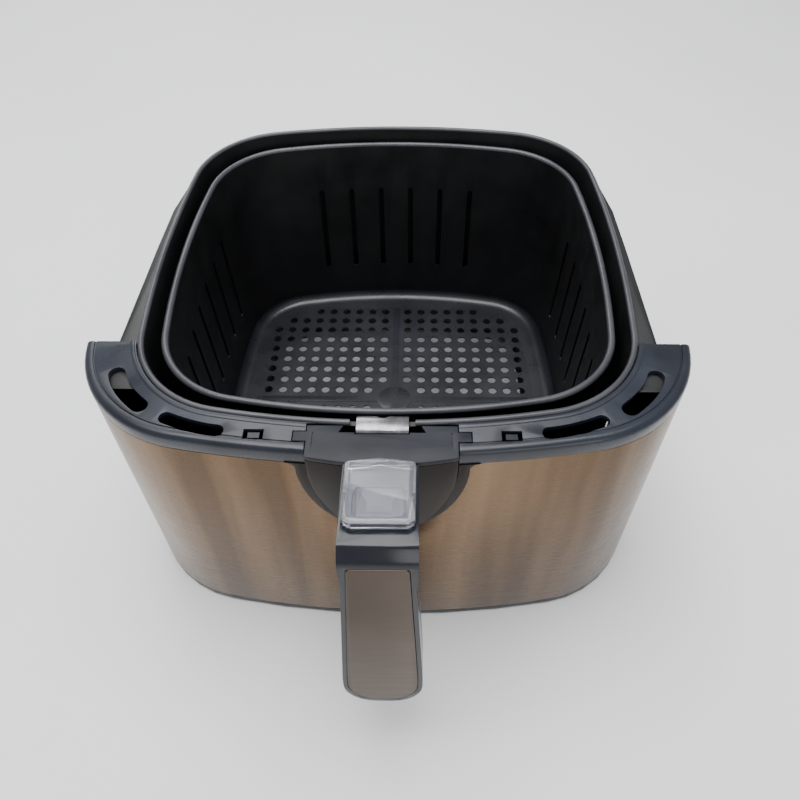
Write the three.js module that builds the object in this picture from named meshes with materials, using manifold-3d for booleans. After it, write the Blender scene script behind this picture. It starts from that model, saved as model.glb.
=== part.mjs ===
// The removable drawer of a square-basket air fryer: a coated pan with its runner flanges, the front
// fascia that the pan carries, and the perforated basket whose handle holds the release latch.
// Millimetres, +Z up, the handle towards -Y. The origin is the centre of the pan's flat base.
import * as THREE from "three";
import { mergeVertices } from "three/addons/utils/BufferGeometryUtils.js";
import { LoftGeometry } from "three/addons/geometries/LoftGeometry.js";
import Module from "manifold-3d";

const wasm = await Module();
wasm.setup();

// ---------------------------------------------------------------- driving sizes

const gap = 0.3; // between pieces that touch
const draft = 0.038; // inward lean of the drawn walls, per millimetre of height

// The outlines are rounded squares made of three arcs: front/back, side and corner.
// The pan reaches a little further towards the handle than towards the back.
const panRim = {
  halfX: 124.8,
  halfY: 123.5,
  frontExtra: 3.4,
  frontRadius: 440,
  sideRadius: 700,
  cornerRadius: 54,
};
const panFront = panRim.halfY + panRim.frontExtra;
const rimSpacing = { side: 8.3, front: 8.6 }; // between the centre lines of the two rims
const basketRim = {
  halfX: panRim.halfX - rimSpacing.side,
  halfY: panRim.halfY - rimSpacing.front,
  frontRadius: 370,
  sideRadius: 555,
  cornerRadius: 49.5,
};
const fasciaReach = { side: 25.7, front: 17.9 }; // from the pan's rim to the fascia's face
const fascia = {
  halfX: panRim.halfX + fasciaReach.side,
  halfY: panFront + fasciaReach.front,
  frontRadius: 520,
  sideRadius: 900,
  cornerRadius: 65,
};

const panHeight = 161;
const panSheet = 1.2;
const panBead = 1.5;
const wellInset = 25.8; // from the rim's centre line to the drip well's wall
const panFillets = [6, 3, 5]; // at the well's foot, the shelf's inner edge and the wall's foot
const flangeDrop = 3.3; // from the rim's crest to the flange's top
const flangeSheet = 1.2;
const flangeReach = 3; // past the rim's centre line, round the back
const runnerEdge = [[8, -106], [5.6, 0], [4.4, 34]]; // reach past the rim's half width, and where

const basketLift = 26; // the basket's underside above the table
const basketDrop = 6.4; // from the pan's crest to the basket's
const basketSheet = 1;
const basketBead = 1.8;
const basketFillet = 7;
const holePitch = 10;
const holeRadius = 2.9;
const holeSides = 6;
const firstHole = 8.55; // from the centre line to the first row
const holeRows = [[1, 8], [0, 8], [0, 8], [0, 8], [0, 8], [0, 8], [0, 8], [0, 7], [0, 5]];
const wallSlotCount = 6;
const wallSlotPitch = 20.5;
const wallSlotWidth = 3.4;
const wallSlotDrop = 32.6; // from the basket's crest to the slots
const wallSlotHeight = 65;

const deckDrop = 0.5; // from the pan's crest to the fascia's deck
const deckSheet = 2.5;
const lipHeight = 8;
const lipRound = 3;
const fasciaDepth = 67.2; // from the fascia's front to its straight back edge
const fasciaBottom = 1;
const skinSheet = 0.8;
const shellSheet = 2.2;
const bandHeight = 3.7; // bare plastic under the skin
const snapSize = { x: 56.5, inset: 10.6, width: 9, depth: 5.4 };

// The bowl under the handle's T-shaped plate: straight sides, then half an ellipse.
const bowl = { halfWidth: 33.1, depth: 46, drop: 10.5 };
const bowlSheet = 2.2;
const bezelWide = 4.6; // the bezel's width beside the bowl
const bezelLow = 4.7; // the bezel's width under the bowl
const bezelFlare = 4.8; // radius of the skin's corner, where the bezel widens at the top
const plateOverhang = 4.9; // of the plate's front edge past the fascia
const plateGap = 2.3; // from the pan's rim line to the plate's back edge
const plateFrontRadius = 150;
const plateSheet = 2.6;
const tab = { reach: 5.8, inset: 3.4, width: 5 };

const strapSheet = 2;
const strapSideGap = 2.2; // between the strap's edges and the arm's walls
const strapDrop = 0.2; // from the pan's crest to the strap's top
const tongueReach = 6.5; // past the pan's rim line

const armLength = 38.8; // from the plate's front edge to the end of the arm's flat top
const armHeight = 25;
const armMargin = 1.45; // of the arm past the guard, on each side
const neckMargin = 0.7; // of the arm past the grip's neck, on each side
const gripHalfWidth = 18.8;
const gripBottom = 46;
const gripLean = 0.143; // how far the grip leans outwards, per millimetre of drop
const gripDepth = 19;
const noseDrop = 6;
const noseReach = 5.6;
const handleSheet = 2.4;
const insertSheet = 1.1;

const guardHalfWidth = 14.75;
const guardLength = 30;
const guardArch = 1.6;
const guardHeight = 3.7;
const guardSheet = 1.3;
const buttonMargin = 4.85; // from the guard's side to the button's
const buttonLength = 14;
const pinRadius = 1.3;
const screwRadius = 1.4;
const screwHeadRadius = 2.9;

// ---------------------------------------------------------------- places worked out from them

const panBeadZ = panHeight - panBead;
const flangeTop = panHeight - flangeDrop;
const shelfTop = basketLift - gap;
const basketTop = panHeight - basketDrop;
const basketBeadZ = basketTop - basketBead;
const wallSlotLow = basketTop - wallSlotDrop - wallSlotHeight;

const deckTop = panHeight - deckDrop;
const deckUnder = deckTop - deckSheet;
const lipBottom = deckTop - lipHeight;
const skinTop = lipBottom - gap;
const fasciaBack = -(fascia.halfY - fasciaDepth);
const shellBand = fasciaBottom + bandHeight;
const snapWindow = { ...snapSize, y: -(fascia.halfY - snapSize.inset) };

// A point of the deck, measured inwards from the fascia's side and front.
const onDeck = (fromSide, fromFront) => [fascia.halfX - fromSide, -(fascia.halfY - fromFront)];
const sideSlot = { from: onDeck(24.5, 45.8), mid: onDeck(29.9, 36.2), to: onDeck(39.9, 26.4), width: 8 };
const frontSlot = { from: onDeck(53.5, 19.4), mid: onDeck(66, 14.8), to: onDeck(77.5, 12.4), width: 6.6 };

const bowlZ = deckTop - bowl.drop;
const plateUnder = deckTop - plateSheet;
const plateBack = -(panFront + plateGap);
const plateFront = -(fascia.halfY + plateOverhang);
const tabBack = plateBack - tab.inset;
const tabFront = tabBack - tab.width;
const tongueFront = -(panFront + tongueReach);

// A Y position measured outwards from the plate's front edge.
const ahead = (distance) => plateFront - distance;
const handleRear = ahead(gap);
const armFront = ahead(armLength);
const armHalfWidth = guardHalfWidth + armMargin;
const gripNeckHalfWidth = armHalfWidth - neckMargin;
const strapWidth = 2 * (armHalfWidth - handleSheet - strapSideGap);
const armUnderside = deckTop - armHeight;
const gripFrontTop = [armFront - noseReach, deckTop - noseDrop];

const strapTop = panHeight - strapDrop;
const strapUnder = strapTop - strapSheet;
const strapMid = strapSheet / 2;
const coreZ = armUnderside + handleSheet + gap + strapMid; // the strap's centre inside the arm
const strapFace = coreZ + strapMid + gap; // where the pieces above the strap start

const buttonHalfWidth = guardHalfWidth - buttonMargin;
const frameHalfWidth = guardHalfWidth - 1.75;
const guardBack = ahead(1.3);
const guardFront = guardBack - guardLength;
const buttonBack = ahead(12.3);
const buttonFront = buttonBack - buttonLength;
const springY = buttonFront + 3;
const armDeckUnder = deckTop - 5.7;
const recess = {
  halfWidth: guardHalfWidth + 0.15,
  back: ahead(1),
  front: guardFront + 1.2,
  floor: deckTop - 1.8,
  channel: deckTop - 3.3,
};
const frameTop = deckTop + 0.1;

const pivot = { y: -(fascia.halfY - 5.7), z: deckTop - 11.5 };
const keeper = {
  back: -(fascia.halfY - 3.3),
  front: -(fascia.halfY - 1.9),
  top: pivot.z - 25,
  halfWidth: 8,
};
const hookZ = keeper.top - 10.4; // the lever's lower end
const saddle = { halfWidth: 46, low: keeper.top - 66, high: keeper.top - 24.5, sheet: 1.5 };
const ear = { x: 38, y: -(fascia.halfY - 13.8), z: saddle.low, halfWidth: 6 };

// ---------------------------------------------------------------- solids from three.js geometry

// A closed three.js geometry as a manifold-3d solid with its faces pointing out.
function solid(geometry) {
  const bare = geometry.index ? geometry.toNonIndexed() : geometry.clone();
  bare.deleteAttribute("normal");
  bare.deleteAttribute("uv");
  const merged = mergeVertices(bare, 1e-4);
  const index = merged.index.array;
  const kept = [];
  for (let i = 0; i < index.length; i += 3) {
    const [a, b, c] = [index[i], index[i + 1], index[i + 2]];
    if (a !== b && b !== c && c !== a) kept.push(a, b, c);
  }
  const vertProperties = new Float32Array(merged.attributes.position.array);
  const made = new wasm.Manifold(
    new wasm.Mesh({ numProp: 3, vertProperties, triVerts: new Uint32Array(kept) }),
  );
  if (made.volume() > 0) return made;
  kept.reverse();
  return new wasm.Manifold(
    new wasm.Mesh({ numProp: 3, vertProperties, triVerts: new Uint32Array(kept) }),
  );
}

function geometryOf(manifold) {
  const { numProp, numVert, vertProperties, triVerts } = manifold.getMesh();
  const positions = new Float32Array(numVert * 3);
  for (let i = 0; i < numVert; i++) {
    positions.set(vertProperties.subarray(i * numProp, i * numProp + 3), i * 3);
  }
  const geometry = new THREE.BufferGeometry();
  geometry.setAttribute("position", new THREE.BufferAttribute(positions, 3));
  geometry.setIndex(new THREE.BufferAttribute(new Uint32Array(triVerts), 1));
  return geometry;
}

function box([x0, x1], [y0, y1], [z0, z1]) {
  const geometry = new THREE.BoxGeometry(x1 - x0, y1 - y0, z1 - z0);
  return solid(geometry.translate((x0 + x1) / 2, (y0 + y1) / 2, (z0 + z1) / 2));
}

function shapeOf(points) {
  return new THREE.Shape(points.map(([x, y]) => new THREE.Vector2(x, y)));
}

// An outline drawn in X and Y, standing from z0 to z1.
function plate(shape, z0, z1, curveSegments = 6) {
  const options = { depth: z1 - z0, bevelEnabled: false, curveSegments };
  return solid(new THREE.ExtrudeGeometry(shape, options).translate(0, 0, z0));
}

// An outline drawn in X and Z, running from y0 back to y1.
function alongY(shape, y0, y1, curveSegments = 12) {
  const options = { depth: y1 - y0, bevelEnabled: false, curveSegments };
  const geometry = new THREE.ExtrudeGeometry(shape, options);
  const turned = new THREE.Matrix4().makeBasis(
    new THREE.Vector3(1, 0, 0),
    new THREE.Vector3(0, 0, 1),
    new THREE.Vector3(0, -1, 0),
  );
  return solid(geometry.applyMatrix4(turned).translate(0, y1, 0));
}

// An outline drawn in Y and Z, running from x0 to x1.
function alongX(shape, x0, x1, curveSegments = 6) {
  const options = { depth: x1 - x0, bevelEnabled: false, curveSegments };
  const geometry = new THREE.ExtrudeGeometry(shape, options);
  const turned = new THREE.Matrix4().makeBasis(
    new THREE.Vector3(0, 1, 0),
    new THREE.Vector3(0, 0, 1),
    new THREE.Vector3(1, 0, 0),
  );
  return solid(geometry.applyMatrix4(turned).translate(x0, 0, 0));
}

// A round bar between two points.
function rod(from, to, radius, sides = 16) {
  const start = new THREE.Vector3(...from);
  const span = new THREE.Vector3(...to).sub(start);
  const geometry = new THREE.CylinderGeometry(radius, radius, span.length(), sides);
  geometry.translate(0, span.length() / 2, 0);
  const up = new THREE.Vector3(0, 1, 0);
  geometry.applyQuaternion(new THREE.Quaternion().setFromUnitVectors(up, span.normalize()));
  return solid(geometry.translate(...from));
}

// An upright round bar at a place given by its x and y.
function uprightRod({ x, y }, low, high, radius, sides = 12) {
  return rod([x, y, low], [x, y, high], radius, sides);
}

function bothSides(manifold) {
  return manifold.add(manifold.mirror([1, 0, 0]));
}

// ---------------------------------------------------------------- outlines and walls

function arc(centre, radius, start, end, steps) {
  return Array.from({ length: steps + 1 }, (_, i) => {
    const angle = start + ((end - start) * i) / steps;
    return [centre[0] + radius * Math.cos(angle), centre[1] + radius * Math.sin(angle)];
  });
}

// The rounded square, moved outwards by offset: the centres of its arcs stay where they are. Its half
// towards the handle is stretched by the front's extra reach.
function outline(spec, offset = 0) {
  const front = [0, spec.halfY - spec.frontRadius];
  const side = [spec.halfX - spec.sideRadius, 0];
  const toFront = spec.frontRadius - spec.cornerRadius;
  const toSide = spec.sideRadius - spec.cornerRadius;
  const span = Math.hypot(side[0], front[1]);
  const along = (toSide ** 2 - toFront ** 2 + span ** 2) / (2 * span);
  const across = Math.sqrt(toSide ** 2 - along ** 2);
  const [ux, uy] = [-side[0] / span, front[1] / span];
  const corner = [side[0] + along * ux - across * uy, along * uy + across * ux];
  const sideEnd = Math.atan2(corner[1] - side[1], corner[0] - side[0]);
  const frontStart = Math.atan2(corner[1] - front[1], corner[0] - front[0]);
  const quarter = [
    ...arc(side, spec.sideRadius + offset, 0, sideEnd, 2).slice(0, -1),
    ...arc(corner, spec.cornerRadius + offset, sideEnd, frontStart, 7).slice(0, -1),
    ...arc(front, spec.frontRadius + offset, frontStart, Math.PI / 2, 3),
  ];
  const half = [...quarter, ...quarter.slice(0, -1).reverse().map(([x, y]) => [-x, y])];
  const stretch = 1 + (spec.frontExtra ?? 0) / spec.halfY;
  return [...half, ...half.slice(1, -1).reverse().map(([x, y]) => [x, -y * stretch])];
}

// A solid whose section at each height is the outline at a given offset.
function stack(spec, levels) {
  const sections = levels.map(([offset, z]) =>
    outline(spec, offset).map(([x, y]) => new THREE.Vector3(x, y, z)),
  );
  return solid(new LoftGeometry(sections, { capStart: true, capEnd: true }));
}

// A path with its corners rounded, each by its own radius.
function rounded(path, radii, steps = 3) {
  return path.flatMap((point, i) => {
    if (!radii[i]) return [point];
    const here = new THREE.Vector2(...point);
    const back = new THREE.Vector2(...path[i - 1]).sub(here).normalize();
    const ahead = new THREE.Vector2(...path[i + 1]).sub(here).normalize();
    const half = back.angleTo(ahead) / 2;
    const start = here.clone().addScaledVector(back, radii[i] / Math.tan(half));
    const end = here.clone().addScaledVector(ahead, radii[i] / Math.tan(half));
    const bisector = back.clone().add(ahead).normalize();
    const centre = here.clone().addScaledVector(bisector, radii[i] / Math.sin(half));
    const from = start.clone().sub(centre).angle();
    let turn = end.clone().sub(centre).angle() - from;
    if (turn > Math.PI) turn -= 2 * Math.PI;
    if (turn < -Math.PI) turn += 2 * Math.PI;
    return arc([centre.x, centre.y], radii[i], from, from + turn, steps);
  });
}

// A path moved to its right by a distance, with mitred corners.
function beside(path, distance) {
  return path.map((point, i) => {
    const here = new THREE.Vector2(...point);
    const before = i ? here.clone().sub(new THREE.Vector2(...path[i - 1])).normalize() : null;
    const after = path[i + 1] ? new THREE.Vector2(...path[i + 1]).sub(here).normalize() : null;
    const into = before ?? after;
    const out = after ?? before;
    const mean = into.clone().add(out).normalize();
    const reach = distance / mean.dot(into);
    return [here.x + mean.y * reach, here.y - mean.x * reach];
  });
}

// A bent strip of sheet, drawn along its centre line in Y and Z.
function strap(path, radii, thickness, halfWidth) {
  const line = rounded(path, radii, 3);
  const outlinePoints = [...beside(line, thickness / 2), ...beside(line, -thickness / 2).reverse()];
  return alongX(shapeOf(outlinePoints), -halfWidth, halfWidth);
}

// A slot with round ends whose middle line is an arc through three points.
function curvedSlot({ from, mid, to, width }, z0, z1) {
  const curve = new THREE.QuadraticBezierCurve(
    new THREE.Vector2(...from),
    new THREE.Vector2(
      2 * mid[0] - (from[0] + to[0]) / 2,
      2 * mid[1] - (from[1] + to[1]) / 2,
    ),
    new THREE.Vector2(...to),
  );
  const line = curve.getPoints(5).map((p) => [p.x, p.y]);
  const edges = [...beside(line, width / 2), ...beside(line, -width / 2).reverse()];
  const ribbon = plate(shapeOf(edges), z0, z1);
  const ends = [from, to].map(([x, y]) => rod([x, y, z0], [x, y, z1], width / 2, 16));
  return ribbon.add(ends[0]).add(ends[1]);
}

// A drawn vessel and the space in it. The path is the inner face of its wall, from the floor out and
// up to the rim, where the sheet rolls outwards into a bead about the outline.
function drawnVessel(spec, path, fillets, sheet, bead) {
  const crest = path.at(-1)[1];
  const inner = [[path[0][0] - 12, path[0][1]], ...path];
  const outer = beside(inner, sheet);
  const outerFillets = fillets.map((radius, i) => radius + (i % 2 ? -sheet : sheet));
  const under = Math.atan2(-Math.sqrt(bead ** 2 - (bead - sheet) ** 2), sheet - bead);
  const outside = stack(spec, [
    ...rounded(outer, [0, ...outerFillets, 0]).slice(1, -1),
    ...arc([0, crest], bead, under, Math.PI / 2, 5),
  ]);
  const inside = stack(spec, [
    ...rounded(inner, [0, ...fillets, 0]).slice(1, -1),
    ...arc([0, crest], bead, Math.PI, Math.PI / 2, 2),
    [0, crest + bead + 1],
  ]);
  return { outside, inside };
}

// ---------------------------------------------------------------- the pan

// How far the pan's wall stands inside its rim's centre line at a height, on its inner face.
function panWall(z) {
  return -panBead - (panBeadZ - z) * draft;
}

function makePan() {
  const wellTop = -wellInset;
  const wellFoot = wellTop - (shelfTop - panSheet) * 2 * draft;
  const path = [
    [wellFoot, panSheet],
    [wellTop, shelfTop],
    [panWall(shelfTop), shelfTop],
    [-panBead, panBeadZ],
  ];
  const { outside, inside } = drawnVessel(panRim, path, panFillets, panSheet, panBead);
  const strapNotch = box(
    [-strapWidth / 2 - 3, strapWidth / 2 + 3],
    [-panFront - 9, -panFront + 9],
    [strapUnder - 0.5, panHeight + 5],
  );
  return outside.add(makeFlange()).subtract(inside).subtract(strapNotch);
}

// The flange round the rim, widened along both sides into the straight runners.
function makeFlange() {
  const side = runnerEdge.map(([reach, y]) => [panRim.halfX + reach, y]);
  const back = outline(panRim, flangeReach).filter(([, y]) => y > side.at(-1)[1] + 20);
  const rim = shapeOf([...side, ...back, ...side.reverse().map(([x, y]) => [-x, y])]);
  const insideFascia = stack(fascia, [[-deckSheet - 1, flangeTop - 5], [-deckSheet - 1, flangeTop + 5]]);
  return plate(rim, flangeTop - flangeSheet, flangeTop).intersect(insideFascia);
}

// ---------------------------------------------------------------- the basket

function basketWall(z) {
  return -basketBead - (basketBeadZ - z) * draft;
}

function makeBasket() {
  const floor = basketLift + basketSheet;
  const path = [[basketWall(floor), floor], [-basketBead, basketBeadZ]];
  const { outside, inside } = drawnVessel(basketRim, path, [basketFillet], basketSheet, basketBead);
  return outside.subtract(inside).subtract(floorHoles()).subtract(wallSlots());
}

// Rows of round holes that leave a plain cross and a plain disc in the middle, and plain corners.
function floorHoles() {
  const holes = [];
  holeRows.forEach(([first, last], row) => {
    for (let column = first; column <= last; column++) {
      const x = firstHole + column * holePitch;
      const y = firstHole + row * holePitch;
      for (const [sx, sy] of [[1, 1], [-1, 1], [1, -1], [-1, -1]]) {
        const foot = [sx * x, sy * y, basketLift - 1];
        holes.push(rod(foot, [foot[0], foot[1], basketLift + basketSheet + 1], holeRadius, holeSides));
      }
    }
  });
  return wasm.Manifold.union(holes);
}

// Upright slots through the back and side walls, and beside the strap's foot in the front wall.
function wallSlots() {
  const [low, high] = [wallSlotLow, wallSlotLow + wallSlotHeight];
  const cuts = [];
  for (let i = 0; i < wallSlotCount; i++) {
    const middle = (i - (wallSlotCount - 1) / 2) * wallSlotPitch;
    const span = [middle - wallSlotWidth / 2, middle + wallSlotWidth / 2];
    cuts.push(box([-400, -80], span, [low, high]));
    cuts.push(box([80, 400], span, [low, high]));
    cuts.push(box(span, [80, 400], [low, high]));
    if (Math.abs(middle) > strapWidth) cuts.push(box(span, [-400, -80], [low, high]));
  }
  return wasm.Manifold.union(cuts);
}

// ---------------------------------------------------------------- the fascia

const behindFascia = box([-400, 400], [fasciaBack, 400], [-50, 400]);

// The bowl's front view, grown by a margin; height is where its straight sides end.
function bowlShape(halfWidth, depth, top) {
  const shape = new THREE.Shape();
  shape.moveTo(halfWidth, top);
  shape.lineTo(-halfWidth, top);
  shape.lineTo(-halfWidth, bowlZ);
  shape.absellipse(0, bowlZ, halfWidth, depth, Math.PI, 2 * Math.PI, false, 0);
  shape.closePath();
  return shape;
}

function bowlPrism(margin, y0, y1, top) {
  return alongY(bowlShape(bowl.halfWidth + margin, bowl.depth + margin, top), y0, y1);
}

// One side of the T-shaped plate's outline, with a clearance all round.
function plateOutline(clearance) {
  const half = bowl.halfWidth + clearance;
  const reach = half + tab.reach;
  return [
    [half, plateBack + clearance],
    [half, tabBack + clearance],
    [reach, tabBack + clearance],
    [reach, tabFront - clearance],
    [half, tabFront - clearance],
  ];
}

function frontEdge(radius, front, halfWidth, steps = 8) {
  const sweep = Math.asin(halfWidth / radius);
  return arc([0, front + radius], radius, -Math.PI / 2 + sweep, -Math.PI / 2 - sweep, steps);
}

const recessClearance = 0.5;
const pocketSheet = 2;
const pocketFront = keeper.back;
const pocketBack = plateBack + 0.7;

function makeFasciaTop() {
  const outside = stack(fascia, [
    [0, lipBottom],
    [0, deckTop - lipRound],
    [-0.3 * lipRound, deckTop - 0.3 * lipRound],
    [-lipRound, deckTop],
  ]);
  const hollow = stack(fascia, [[-deckSheet, lipBottom - 5], [-deckSheet, deckUnder]]);
  const opening = stack(panRim, [[panBead + 0.5, 0], [panBead + 0.5, deckTop + 5]]);
  const pocket = bowlPrism(recessClearance + pocketSheet, pocketFront, pocketBack, deckUnder + 0.5);
  const [back, front] = [plateBack + 10, -fascia.halfY - 10];
  const bowlSpace = bowlPrism(recessClearance, front, back, deckTop + 5);
  const side = plateOutline(recessClearance);
  const tee = shapeOf([...side, ...side.reverse().map(([x, y]) => [-x, y])]);
  const keeperSlot = box(
    [-keeper.halfWidth - 1, keeper.halfWidth + 1],
    [pocketFront - 1, keeper.back + 0.6],
    [keeper.top - 29, keeper.top - 9],
  );
  const cuts = [
    bothSides(curvedSlot(sideSlot, deckUnder - 1, deckTop + 1)),
    bothSides(curvedSlot(frontSlot, deckUnder - 1, deckTop + 1)),
    bothSides(snapCut(0)),
    plate(tee, plateUnder - gap, deckTop + 5),
    bowlSpace,
    keeperSlot,
    opening,
    behindFascia,
  ];
  return outside.subtract(hollow).add(pocket).subtract(wasm.Manifold.union(cuts));
}

function snapCut(margin) {
  const [w, d] = [snapWindow.width / 2 - margin, snapWindow.depth / 2 - margin];
  return box(
    [snapWindow.x - w, snapWindow.x + w],
    [snapWindow.y - d, snapWindow.y + d],
    [deckUnder - 1, deckTop + 1],
  );
}

// The bezel's outer edge, grown by a margin: flared at the top, then half an ellipse.
function bezelPrism(margin) {
  const half = bowl.halfWidth + recessClearance + bezelWide;
  const low = bowlZ - bowl.depth - recessClearance - bezelLow;
  const flareZ = skinTop - bezelFlare;
  const shape = new THREE.Shape();
  shape.moveTo(half + bezelFlare, skinTop);
  shape.lineTo(-half - bezelFlare, skinTop);
  shape.absarc(-half - bezelFlare, flareZ, bezelFlare - margin, Math.PI / 2, 0, true);
  shape.absellipse(0, flareZ, half + margin, flareZ - low + margin, Math.PI, 2 * Math.PI, false, 0);
  shape.absarc(half + bezelFlare, flareZ, bezelFlare - margin, Math.PI, Math.PI / 2, true);
  shape.closePath();
  return alongY(shape, -fascia.halfY - 5, -fascia.halfY + 12);
}

// The brushed sheet that wraps the front and both corners.
function makeFasciaSkin() {
  const outside = stack(fascia, [[0, shellBand + gap], [0, skinTop]]);
  const hollow = stack(fascia, [[-skinSheet, 0], [-skinSheet, skinTop + 5]]);
  return outside.subtract(hollow).subtract(behindFascia).subtract(bezelPrism(gap));
}

// The glossy U that frames the handle's bowl.
function makeRecessBezel() {
  const band = stack(fascia, [[0.8, 0], [0.8, skinTop]]);
  const hollow = stack(fascia, [[-1.1, -5], [-1.1, skinTop + 5]]);
  const bowlSpace = bowlPrism(recessClearance, -fascia.halfY - 10, 0, skinTop + 5);
  return band.subtract(hollow).intersect(bezelPrism(0)).subtract(bowlSpace);
}

// The moulding behind the skin, with lugs for the pan's bracket and snap hooks for the top.
function makeFasciaShell() {
  const inset = skinSheet + gap;
  const body = stack(fascia, [
    [-0.4, fasciaBottom],
    [0, fasciaBottom + 0.4],
    [0, shellBand],
    [-inset, shellBand],
    [-inset, skinTop],
  ]);
  const hollow = stack(fascia, [[-inset - shellSheet, -5], [-inset - shellSheet, skinTop + 5]]);
  const bowlSpace = bowlPrism(recessClearance + pocketSheet + gap, -400, 0, skinTop + 5);
  const bezelSeat = stack(fascia, [[-1.5, -5], [-1.5, 300]]);
  const front = bezelPrism(gap).subtract(bezelSeat);
  const keeperSlot = box(
    [-keeper.halfWidth - 0.6, keeper.halfWidth + 0.6],
    [-fascia.halfY - 50, -fascia.halfY + 15],
    [saddle.high - saddle.sheet - 1, keeper.top - 4],
  );
  const wall = body.subtract(hollow).subtract(behindFascia).subtract(front).subtract(bowlSpace);
  return wall
    .subtract(keeperSlot)
    .add(makeBackWall(inset))
    .add(bothSides(screwLug()))
    .add(bothSides(snapHook()));
}

// The wall that closes the fascia's sides towards the pan.
function makeBackWall(inset) {
  const clear = (z) => panWall(z) + panSheet + 2;
  const panSpace = stack(panRim, [[clear(-5), -5], [clear(skinTop + 5), skinTop + 5]]);
  return stack(fascia, [[-inset - 0.1, shellBand], [-inset - 0.1, skinTop]])
    .intersect(box([-400, 400], [fasciaBack - shellSheet, fasciaBack], [0, 400]))
    .subtract(panSpace);
}

function screwLug() {
  const lug = box(
    [ear.x - ear.halfWidth + 1, ear.x + ear.halfWidth - 1],
    [-fascia.halfY + 4, ear.y + 4],
    [ear.z + 1.5 + gap, ear.z + 15],
  );
  const bore = rod([ear.x, ear.y, ear.z], [ear.x, ear.y, ear.z + 12], screwRadius + gap, 12);
  return lug.subtract(bore);
}

function snapHook() {
  const [x0, x1] = [snapWindow.x - 2.6, snapWindow.x + 2.6];
  const root = box([x0, x1], [-fascia.halfY + 5.2, snapWindow.y + 1.6], [deckTop - 22.5, deckTop - 12.5]);
  const post = box([x0, x1], [snapWindow.y, snapWindow.y + 1.6], [deckTop - 20.5, deckTop - 1]);
  const nose = box([x0, x1], [snapWindow.y - 1.4, snapWindow.y + 1.6], [deckTop - 2.2, deckTop - 1]);
  return root.add(post).add(nose);
}

// The saddle welded to the pan's front wall, with two ears for the fascia and the latch's keeper.
function makePanBracket() {
  const clear = (z) => panWall(z) + panSheet + gap;
  const [low, high] = [saddle.low, saddle.high];
  const outside = stack(panRim, [
    [clear(low) + saddle.sheet, low],
    [clear(high) + saddle.sheet, high],
  ]);
  const hollow = stack(panRim, [[clear(low - 5), low - 5], [clear(high + 5), high + 5]]);
  const front = box([-saddle.halfWidth, saddle.halfWidth], [-400, -80], [0, 400]);
  const plateY = -panFront + 20;
  const earPlate = box(
    [ear.x - ear.halfWidth, ear.x + ear.halfWidth],
    [ear.y - 4, plateY],
    [ear.z, ear.z + saddle.sheet],
  ).subtract(rod([ear.x, ear.y, ear.z - 8], [ear.x, ear.y, ear.z + 7], screwRadius + gap, 12));
  const shelf = box(
    [-keeper.halfWidth, keeper.halfWidth],
    [keeper.front, plateY],
    [high - saddle.sheet, high],
  );
  const post = box(
    [-keeper.halfWidth, keeper.halfWidth],
    [keeper.front, keeper.back],
    [high - saddle.sheet, keeper.top],
  );
  const keeperWindow = box(
    [-4, 4],
    [keeper.front - 1, keeper.back + 1],
    [keeper.top - 11.5, keeper.top - 4.5],
  );
  return outside
    .add(bothSides(earPlate))
    .add(shelf)
    .subtract(hollow)
    .intersect(front)
    .add(post)
    .subtract(keeperWindow);
}

// ---------------------------------------------------------------- the handle's base

const bowlFrontSheet = 2;

// Everything in front of the curved front edge, moved back by a depth.
function aheadOfFront(depth) {
  const edge = frontEdge(plateFrontRadius - depth, plateFront + depth, 60, 12);
  return plate(shapeOf([[60, -500], ...edge, [-60, -500]]), -10, 500);
}

const lug = { inner: 5.6, outer: 11.4, front: pivot.y - 3.9, top: pivot.z + 4.5 };

function makeHandleBase() {
  const side = plateOutline(0);
  const tee = shapeOf([...side, ...frontEdgeSpan(), ...side.reverse().map(([x, y]) => [-x, y])]);
  const notch = shapeOf([
    [16.8, plateBack + 1],
    [19.3, tongueFront + 0.5],
    [strapWidth / 2 + 0.5, tongueFront + 0.5],
    [strapWidth / 2 + 0.5, tongueFront - 0.5],
    [-strapWidth / 2 - 0.5, tongueFront - 0.5],
    [-strapWidth / 2 - 0.5, tongueFront + 0.5],
    [-19.3, tongueFront + 0.5],
    [-16.8, plateBack + 1],
  ]);
  const top = plate(tee, plateUnder, deckTop);
  const bowlBack = tongueFront - 0.6;
  const coverSpace = aheadOfFront(bowlFrontSheet + gap).intersect(
    box([-60, 60], [-400, 0], [0, plateUnder]),
  );
  const walls = bowlPrism(0, plateFront, bowlBack, deckTop - 0.5)
    .subtract(bowlPrism(-bowlSheet, plateFront - 1, bowlBack - bowlSheet, plateUnder))
    .subtract(coverSpace);
  const post = box([lug.inner, lug.outer], [lug.front, bowlBack - 1], [strapFace, lug.top]);
  const groove = box([30.2, 30.7], [tabFront - 2.4, tabBack - 0.4], [deckTop - 0.5, deckTop + 1]);
  const halfNotch = strapWidth / 2 + 0.5;
  const cuts = [
    plate(notch, plateUnder - 1, deckTop + 1),
    box(
      [-halfNotch, halfNotch],
      [bowlBack - 5, bowlBack + 1],
      [coreZ - strapMid - 0.4, coreZ + strapMid + 0.4],
    ),
    box([-4.5, 4.5], [bowlBack - 5, bowlBack + 1], [hookZ - 4.6, coreZ]),
    box(
      [-keeper.halfWidth - 0.7, keeper.halfWidth + 0.7],
      [keeper.front - 0.6, keeper.back + 0.6],
      [bowlZ - bowl.depth - 9, keeper.top - 12],
    ),
    rod([-12, pivot.y, pivot.z], [12, pivot.y, pivot.z], pinRadius + gap, 16),
    bothSides(groove),
    bothSides(uprightRod(baseScrew, coreZ - 9, pivot.z - 1.8, screwRadius + gap)),
  ];
  const joined = top.add(walls).subtract(aheadOfFront(0)).add(bothSides(post));
  return joined.subtract(wasm.Manifold.union(cuts));
}

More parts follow.
